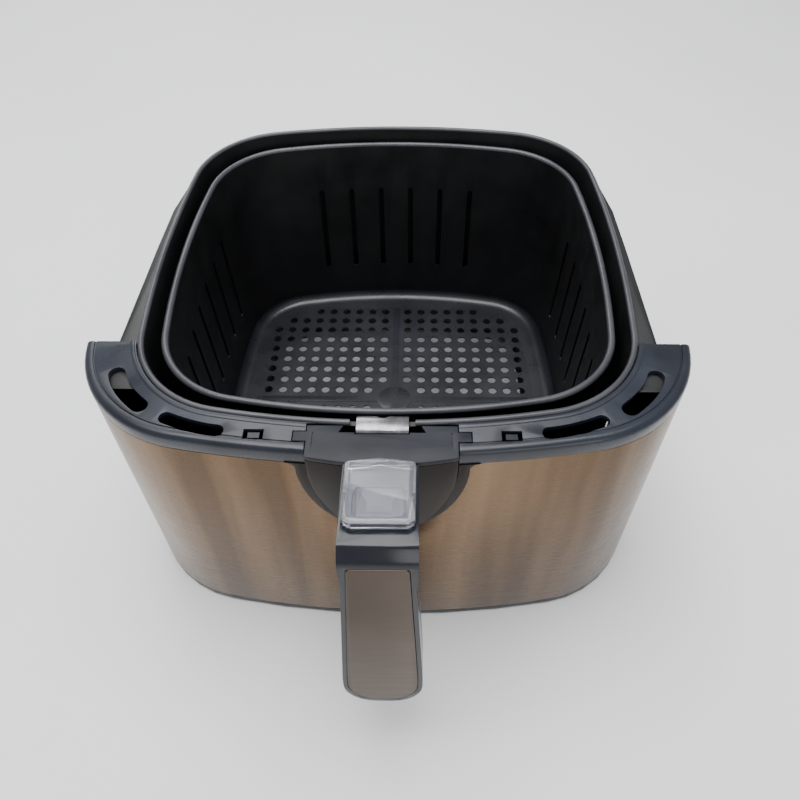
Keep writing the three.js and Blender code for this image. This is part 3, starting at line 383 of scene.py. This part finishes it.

# %% [markdown]
# The front sheet is champagne-coloured stainless steel. Its brush lines run round the drawer, so
# what it mirrors is drawn out, and its colour carries soft upright light and dark bands as painted
# reflections.
# The bezel and the bowl are gloss bronze.

# %% Metal finishes
# The stretched tone bands in the sheet's colour are painted reflections.
brushed_skin = finish("brushed_skin", (0.100, 0.063, 0.037), (0.230, 0.152, 0.092), (0.24, 0.32),
                      metallic=0.94, tone_scale=(34, 34, 2.6), patch_scale=(24, 24, 700),
                      grain_scale=(14, 14, 2600), grain=0.05)
shader_of(brushed_skin).inputs["Anisotropic"].default_value = 0.45
gloss_bronze = finish("gloss_bronze", (0.008, 0.005, 0.0025), (0.013, 0.008, 0.004), (0.08, 0.14),
                      grain=0.01)
shader_of(gloss_bronze).inputs["Specular IOR Level"].default_value = 0.15
inlay_metal = finish("inlay_metal", (0.066, 0.051, 0.041), (0.098, 0.077, 0.062), (0.34, 0.42),
                     metallic=0.9, tone_scale=(14, 14, 9), patch_scale=(40, 40, 900),
                     grain_scale=(60, 60, 3000), grain=0.05)
bright_steel = finish("bright_steel", (0.17, 0.165, 0.175), (0.30, 0.29, 0.305), (0.18, 0.30),
                      metallic=0.95, tone_scale=(120, 120, 120), grain_scale=(200, 2500, 200))
zinc = finish("zinc", (0.36, 0.37, 0.39), (0.46, 0.47, 0.49), (0.3, 0.42), metallic=0.95,
              tone_scale=(200, 200, 200))
print("metal finishes ready")

# %% Button and guard finishes
grey_plastic = finish("grey_plastic", (0.075, 0.078, 0.094), (0.105, 0.109, 0.128), (0.26, 0.36),
                      grain=0.04)
clear_plastic = finish("clear_plastic", (0.68, 0.70, 0.76), (0.76, 0.78, 0.84), (0.03, 0.07),
                       grain=0.01)
clear = shader_of(clear_plastic)
clear.inputs["Transmission Weight"].default_value = 0.9
clear.inputs["IOR"].default_value = 1.38
print("plastic finishes ready")


# %% [markdown]
# ## The pan
# A real pan is drawn from one disc of steel in a press, then its rim is rolled. The ring is drawn
# under the base and extruded through the drip well, the shelf that carries the basket, the leaning
# wall, the bead, and back down the inside.

# %% Section of a drawn wall
DRAFT = 0.038
FLOOR_INSET = 12


def rounded(path, radii, steps=6):
    out = []
    for i, (point, radius) in enumerate(zip(path, radii)):
        if not radius:
            out.append(point)
            continue
        here = Vector(point)
        back = (Vector(path[i - 1]) - here).normalized()
        ahead = (Vector(path[i + 1]) - here).normalized()
        half = back.angle(ahead) / 2
        start = here + back * radius / math.tan(half)
        end = here + ahead * radius / math.tan(half)
        centre = here + (back + ahead).normalized() * radius / math.sin(half)
        a = math.atan2(start.y - centre.y, start.x - centre.x)
        turn = math.atan2(end.y - centre.y, end.x - centre.x) - a
        turn = (turn + math.pi) % (2 * math.pi) - math.pi
        out += arc(centre, radius, a, a + turn, steps)
    return out


def beside(path, distance):
    out = []
    for i, point in enumerate(path):
        here = Vector(point)
        into = (here - Vector(path[i - 1])).normalized() if i else None
        on = (Vector(path[i + 1]) - here).normalized() if i + 1 < len(path) else None
        into = into or on
        on = on or into
        mean = (into + on).normalized()
        reach = distance / mean.dot(into)
        out.append((here.x + mean.y * reach, here.y - mean.x * reach))
    return out


def vessel(name, size, path, fillets, sheet, bead):
    """The whole skin of a drawn vessel, outside and inside, with its rolled rim."""
    crest = path[-1][1]
    floor_ring = (path[0][0] - FLOOR_INSET, path[0][1])
    inner = [floor_ring] + path
    outer = beside(inner, sheet)
    outer_radii = [r + (-sheet if i % 2 else sheet) for i, r in enumerate(fillets)]
    under = math.atan2(-math.sqrt(bead**2 - (bead - sheet) ** 2), sheet - bead)
    levels = rounded(outer, [0] + outer_radii + [0])[1:-1]
    levels += arc((0, crest), bead, under, math.pi, 14)
    levels += list(reversed(rounded(inner, [0] + list(fillets) + [0])[1:-1]))
    return stack(name, size, levels)


# %% Draw the pan
LIFT, PAN_SHEET, PAN_BEAD, PAN_TOP = 26.0, 1.2, 1.5, 161.0
SHELF_GAP = 0.3
NOTCH_HALF, NOTCH_FLOOR = 14.6, 158.3
FLANGE_LOW, FLANGE_HIGH = 156.5, 157.7
shelf = LIFT - SHELF_GAP
crest = PAN_TOP - PAN_BEAD
well = -25.8
pan_path = [
    (well - (shelf - PAN_SHEET) * 2 * DRAFT, PAN_SHEET),
    (well, shelf),
    (-PAN_BEAD - (crest - shelf) * DRAFT, shelf),
    (-PAN_BEAD, crest),
]
pan_shell = vessel("pan_shell", PAN, pan_path, [6, 3, 5], PAN_SHEET, PAN_BEAD)
notch = block("notch", (-NOTCH_HALF, NOTCH_HALF), (-135.9, -117.9), (NOTCH_FLOOR, 170))
combine(pan_shell, notch)
soften(pan_shell, 0)
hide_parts("pan")
keep(pan_shell, "drawer", coating_and_painted_shade, "coated_steel")
pan_shell.data.materials.append(rim_painted_highlight)
pan_shell.data.materials.append(well_floor_painted_light)
# Faces on the bead take the rim's painted highlight.
for face in pan_shell.data.polygons:
    if face.center.z > (crest - 0.4) * MM:
        face.material_index = 1
    # The pan's inner floor takes the near-white painted light seen through the holes.
    elif abs(face.center.z - PAN_SHEET * MM) < 0.1 * MM and face.normal.z > 0.9:
        face.material_index = 2

# %% [markdown]
# The flange that slides on the housing's rails leaves the rim as a narrow edge at the back and
# widens into a straight runner on each side. It is drawn flat and given the sheet's thickness.

# %% Draw the runner flange
edge = [(PAN["halfX"] + reach, y) for reach, y in ((8, -106), (5.6, 0), (4.4, 34))]
back = [(x, y) for x, y in outline(PAN, 3) if y > 54]
flange_outline = edge + back + [(-x, y) for x, y in reversed(edge)]
pan_flange = prism("pan_flange", flange_outline, "Z", FLANGE_LOW, FLANGE_HIGH)
combine(pan_flange, stack("hole", PAN, [(-0.4, 150), (-0.4, 165)]))
soften(pan_flange, 0.25)
keep(pan_flange, "drawer", coating_and_painted_shade, "coated_steel")

# %% [markdown]
# ## The basket
# The basket is drawn like the pan, in thinner sheet, and pierced afterwards. The floor's holes
# stand in rows that leave a plain cross between the four fields.

# %% Draw the basket
BASKET_SHEET, BASKET_BEAD, BASKET_TOP = 1.0, 1.8, 154.6
floor_top = LIFT + BASKET_SHEET
basket_crest = BASKET_TOP - BASKET_BEAD
basket_path = [
    (-BASKET_BEAD - (basket_crest - floor_top) * DRAFT, floor_top),
    (-BASKET_BEAD, basket_crest),
]
basket_shell = vessel("basket_shell", BASKET, basket_path, [7], BASKET_SHEET, BASKET_BEAD)

# %% Pierce the floor
PITCH, FIRST, HOLE_R, PUNCH_LENGTH = 10.0, 8.55, 2.9, 6
rows = [(1, 8), (0, 8), (0, 8), (0, 8), (0, 8), (0, 8), (0, 8), (0, 7), (0, 5)]
punches = []
for i, (first, last) in enumerate(rows):
    spot = ((FIRST + first * PITCH) * MM, (FIRST + i * PITCH) * MM, LIFT * MM)
    bpy.ops.mesh.primitive_cylinder_add(vertices=14, radius=HOLE_R * MM, depth=PUNCH_LENGTH * MM,
                                        location=spot)
    bpy.ops.object.transform_apply(location=True)
    punch = bpy.context.object
    row = punch.modifiers.new("row", "ARRAY")
    row.count = last - first + 1
    row.use_relative_offset = False
    row.use_constant_offset = True
    row.constant_offset_displace = (PITCH * MM, 0, 0)
    bpy.ops.object.modifier_apply(modifier="row")
    punches.append(punch)
alone(punches[0])
for punch in punches:
    punch.select_set(True)
bpy.ops.object.join()
punch = bpy.context.object
quarter = punch.modifiers.new("quarter", "MIRROR")
quarter.use_axis = (True, True, False)
quarter.use_mirror_merge = False
bpy.ops.object.modifier_apply(modifier="quarter")
bpy.ops.object.mode_set(mode="EDIT")
bpy.ops.mesh.select_all(action="SELECT")
bpy.ops.mesh.normals_make_consistent(inside=False)
bpy.ops.object.mode_set(mode="OBJECT")
combine(basket_shell, punch)
print("basket faces after piercing:", len(basket_shell.data.polygons))


# %% Cut the wall slots
def stadium(cx, cz, width, height, steps=5):
    r = width / 2
    top = arc((cx, cz + height / 2 - r), r, 0, math.pi, steps)
    return top + arc((cx, cz - height / 2 + r), r, math.pi, 2 * math.pi, steps)


SLOTS, SLOT_PITCH, SLOT_MIDDLE = 6, 20.5, 89.5
SLOT_WIDTH, SLOT_HEIGHT = 3.4, 65
STRAP_ROOM = 23
for i in range(SLOTS):
    middle = (i - (SLOTS - 1) / 2) * SLOT_PITCH
    slot_outline = stadium(middle, SLOT_MIDDLE, SLOT_WIDTH, SLOT_HEIGHT)
    combine(basket_shell, prism("slot", slot_outline, "Y", 80, 130))
    combine(basket_shell, prism("slot", slot_outline, "X", 80, 130))
    combine(basket_shell, prism("slot", slot_outline, "X", -130, -80))
    if abs(middle) > STRAP_ROOM:
        combine(basket_shell, prism("slot", slot_outline, "Y", -130, -80))
print("basket faces after slotting:", len(basket_shell.data.polygons))

# %% Finish the basket
soften(basket_shell, 0)
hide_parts("basket")
keep(basket_shell, "basket_unit", coating_and_painted_shade, "coated_steel")
basket_shell.data.materials.append(rim_painted_highlight)
basket_shell.data.materials.append(floor_coating_painted_light)
# Faces on the bead take the rim's painted highlight.
for face in basket_shell.data.polygons:
    if face.center.z > (basket_crest + 0.2) * MM:
        face.material_index = 1
    # The floor and its lower fillet take the lighter copy, painted light where they face up.
    elif face.center.z < (floor_top + 5.5) * MM:
        face.material_index = 2

# %% [markdown]
# The cross is a shallow bead: a strip each way and a round boss where they meet. It stands a few
# tenths above the floor, so that its edges catch the light.

# %% Press the cross
narrow = (-2.3, 2.3)
long = (-92, 92)
thick = (26.6, 27.35)
BOSS_R = 11.5
cross = block("floor_cross", narrow, long, thick)
combine(cross, block("bar", long, narrow, thick), "UNION")
boss = arc((0, 0), BOSS_R, 0, 2 * math.pi, 32)[:-1]
combine(cross, prism("boss", boss, "Z", *thick), "UNION")
soften(cross, 0.3, 3)
keep(cross, "basket_unit", floor_coating_painted_light, "coated_steel")

# %% [markdown]
# ## The front panel
# A moulded top carries the slots, the snap windows and the recess for the handle. The brushed sheet
# below it wraps the front, with a U cut out for the bezel.

# %% Mould the top
DECK, LIP, ROUND, SHEET = 160.5, 8.0, 3.0, 2.5
PANEL_BACK = -77.6
under = DECK - SHEET
top_levels = [(-40, under), (-SHEET, under), (-SHEET, DECK - LIP), (0, DECK - LIP)]
top_levels += [(0, DECK - ROUND)]
top_levels += arc((-ROUND, DECK - ROUND), ROUND, 0, math.pi / 2, 5)[1:]
top_levels += [(-4.5, DECK), (-4.75, DECK - 0.5), (-5.25, DECK - 0.5), (-5.5, DECK), (-40, DECK)]
top_cover = stack("top_cover", FASCIA, top_levels)
ridge_levels = [(1.0, 159.5), (4.6, 159.5), (4.6, 160.6), (3.9, 161.0), (2.9, 161.0), (2.5, 160.6),
                (1.0, 160.6)]
combine(top_cover, stack("ridge", PAN, ridge_levels, capped=False), "UNION")
combine(top_cover, stack("opening", PAN, [(2.0, 120), (2.0, 200)]))
combine(top_cover, block("behind", (-200, 200), (PANEL_BACK, 200), (100, 200)))


# %% Cut the slots and windows
def curved_slot(start, middle, end, width, steps=8):
    pull = (2 * middle[0] - (start[0] + end[0]) / 2, 2 * middle[1] - (start[1] + end[1]) / 2)
    line = []
    for i in range(steps + 1):
        t = i / steps
        line.append(tuple(start[k] * (1 - t) ** 2 + 2 * pull[k] * t * (1 - t) + end[k] * t * t
                          for k in (0, 1)))
    right = beside(line, width / 2)
    left = beside(line, -width / 2)
    head = math.atan2(left[-1][1] - right[-1][1], left[-1][0] - right[-1][0])
    tail = math.atan2(right[0][1] - left[0][1], right[0][0] - left[0][0])
    loop = right[:-1] + arc(end, width / 2, head - math.pi, head, 8)
    loop += list(reversed(left))[1:-1] + arc(start, width / 2, tail - math.pi, tail, 8)
    return loop[:-1]


side_slot = curved_slot((126, -99), (120.6, -108.6), (110.6, -118.4), 8)
front_slot = curved_slot((97, -125.4), (84.5, -130), (73, -132.4), 6.6)
for shape in (side_slot, front_slot):
    combine(top_cover, mirror_x(prism("slot", shape, "Z", 140, 180)))
window = [(52, -136.9), (61, -136.9), (61, -131.5), (52, -131.5)]
combine(top_cover, mirror_x(prism("window", window, "Z", 140, 180)))

# %% Cut the recess for the handle
half, tab_reach = 33.6, 5.8
plate_back, tab_back, tab_front = -128.7, -132.1, -138.1
tee = [(half, plate_back), (half, tab_back), (half + tab_reach, tab_back),
       (half + tab_reach, tab_front), (half, tab_front), (half, -170)]
tee += [(-x, y) for x, y in reversed(tee)]
combine(top_cover, prism("tee", tee, "Z", 157.6, 180))
BOWL_HALF, BOWL_DEPTH, BOWL_TOP = 33.1, 46, 150


def bowl_outline(margin, top, steps=56):
    wide, deep = BOWL_HALF + margin, BOWL_DEPTH + margin
    curve = [(wide * math.cos(a), BOWL_TOP + deep * math.sin(a))
             for a in (math.pi + math.pi * i / steps for i in range(steps + 1))]
    return [(wide, top), (-wide, top)] + curve


combine(top_cover, prism("bowl", bowl_outline(0.5, 200), "Y", -190, -128))
channel = prism("channel", bowl_outline(2.5, 158), "Y", -141.5, -128.5)
combine(channel, prism("bowl", bowl_outline(0.5, 200), "Y", -160, -118))
combine(channel, block("slot", (-9, 9), (-150, -140.9), (90, 115)))
soften(top_cover, 0.35, 3)
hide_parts("fascia_top")
keep(top_cover, "drawer", black_plastic, "black_plastic")
soften(channel, 0.2)
keep(channel, "drawer", black_plastic, "black_plastic")
channel.name = "bowl_channel"

# %% Wrap the brushed sheet
SKIN_LOW, SKIN_TOP = 5.0, 152.2
sheet_levels = [(-0.8, SKIN_LOW), (-0.25, SKIN_LOW), (0, 5.25), (0, 151.9), (-0.25, SKIN_TOP),
                (-0.8, SKIN_TOP)]
brushed_sheet = stack("brushed_sheet", FASCIA, sheet_levels, capped=False)
combine(brushed_sheet, block("behind", (-200, 200), (PANEL_BACK, 200), (-10, 200)))


def bezel_outline(margin, top=SKIN_TOP, steps=56):
    """The cut-out's edge: flared at the top, upright beside the bowl, swept in below it."""
    wide, low, flare = 38.2, 98.8, 4.8
    middle = SKIN_TOP - flare
    corner = arc((-wide - flare, middle), flare - margin, math.pi / 2, 0, 6)[:-1]
    curve = [((wide + margin) * math.cos(a), middle + (middle - low + margin) * math.sin(a))
             for a in (math.pi + math.pi * i / steps for i in range(steps + 1))]
    edge = [(wide + flare, top), (-wide - flare, top)] if top > SKIN_TOP else []
    return edge + corner + curve + [(-x, z) for x, z in reversed(corner)]


combine(brushed_sheet, prism("cut", bezel_outline(0.3, 170), "Y", -160, -120))
soften(brushed_sheet, 0.12, 2)
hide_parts("fascia_skin")
keep(brushed_sheet, "drawer", brushed_skin, "brushed_skin")

# %% Fit the bezel
bezel_levels = [(-1.1, 60), (0.5, 60), (0.5, SKIN_TOP), (-1.1, SKIN_TOP)]
bezel = stack("bezel", FASCIA, bezel_levels, capped=False)
combine(bezel, prism("keep", bezel_outline(0), "Y", -160, -120), "INTERSECT")
combine(bezel, prism("bowl", bowl_outline(0.5, 200), "Y", -190, -120))
soften(bezel, 0.45, 3)
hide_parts("recess_bezel")
keep(bezel, "drawer", gloss_bronze, "gloss_bronze")

# %% [markdown]
# ## The handle, its latch and the small metal parts
# These pieces already have their true shape in the CAD. Each gets a merged copy whose edges are
# rounded as a mould or a press would round them, so that they catch a line of light.

# %% Handle pieces
pieces = [
    ("handle_base", "handle_plate", 0.35, matt_black, "black_plastic"),
    ("base_cover", "bowl_cover", 0.3, gloss_bronze, "gloss_bronze"),
    ("handle_front", "grip_front", 0.5, gloss_black, "black_plastic"),
    ("handle_back", "grip_back", 0.5, black_plastic, "black_plastic"),
    ("handle_inlay", "grip_inlay", 0.35, inlay_metal, "inlay_metal"),
    ("handle_strap", "strap", 0.2, bright_steel, "bright_steel"),
    ("button_frame", "button_surround", 0.2, grey_plastic, "grey_plastic"),
]
for node, name, width, material, slot_name in pieces:
    keep(from_cad(node, name, width, 3), "basket_unit", material, slot_name)
keep(from_cad("release_button", "thumb_button", 0.35, 3), "button", grey_plastic, "grey_plastic")
keep(from_cad("button_guard", "clear_guard", 0.4, 3), "guard", clear_plastic, "clear_plastic")
keep(from_cad("latch_lever", "lever", 0.2), "lever", zinc, "zinc_steel")
keep(from_cad("pan_bracket", "bracket", 0.2), "drawer", zinc, "zinc_steel")

# %% [markdown]
# The moulding behind the sheet, the screws, the pin and the spring keep their CAD meshes.

# %% Finish the CAD nodes that stay
for name, node in nodes.items():
    if node.hide_render:
        continue
    material = black_plastic if name == "fascia_shell" else zinc
    node.data.materials.clear()
    node.data.materials.append(material)
    alone(node)
    bpy.ops.object.shade_smooth_by_angle(angle=math.radians(30))
    print("kept", name)

# %% [markdown]
# ## Studio
# A pale floor, a bright dome and three soft boxes: one high on the left, one behind for the rims,
# and a low one in front that the brushed sheet and the grip mirror.

# %% Floor
bpy.ops.mesh.primitive_plane_add(size=6, location=(0, 0, -0.0004))
floor = bpy.context.object
bpy.ops.object.transform_apply(location=True)
floor.name = "floor"
paper = finish("paper", (0.86, 0.86, 0.86), (0.90, 0.90, 0.90), (0.75, 0.85), tone_scale=(3, 3, 3),
               grain_scale=(300, 300, 300), grain=0.02)
floor.data.materials.append(paper)
floor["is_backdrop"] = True

# %% Lights
world = bpy.data.worlds.new("studio")
bpy.context.scene.world = world
world.use_nodes = True
world.node_tree.nodes["Background"].inputs["Color"].default_value = (0.95, 0.97, 1.0, 1)
world.node_tree.nodes["Background"].inputs["Strength"].default_value = 0.6


def soft_box(name, spot, aim, size, power):
    bpy.ops.object.light_add(type="AREA", location=spot)
    lamp = bpy.context.object
    lamp.name = name
    lamp.data.shape = "RECTANGLE"
    lamp.data.size, lamp.data.size_y = size
    lamp.data.energy = power
    way = Vector(aim) - Vector(spot)
    lamp.rotation_euler = way.to_track_quat("-Z", "Y").to_euler()
    return lamp


soft_box("overhead", (-0.1, 0.05, 1.4), (0, 0, 0), (1.1, 1.1), 30)
soft_box("back_light", (-0.5, 1.1, 1.0), (0, 0, 0.15), (0.7, 0.5), 6)
soft_box("front_fill", (0.5, -1.3, 0.6), (0, -0.1, 0.1), (0.8, 0.5), 4)
print("lights placed")

# %% Measure the boxes
visual_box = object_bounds()
sizes = {"cad": [list(v) for v in cad_box], "visual": [list(v) for v in visual_box]}
print("CAD box", sizes["cad"])
print("visual box", sizes["visual"])
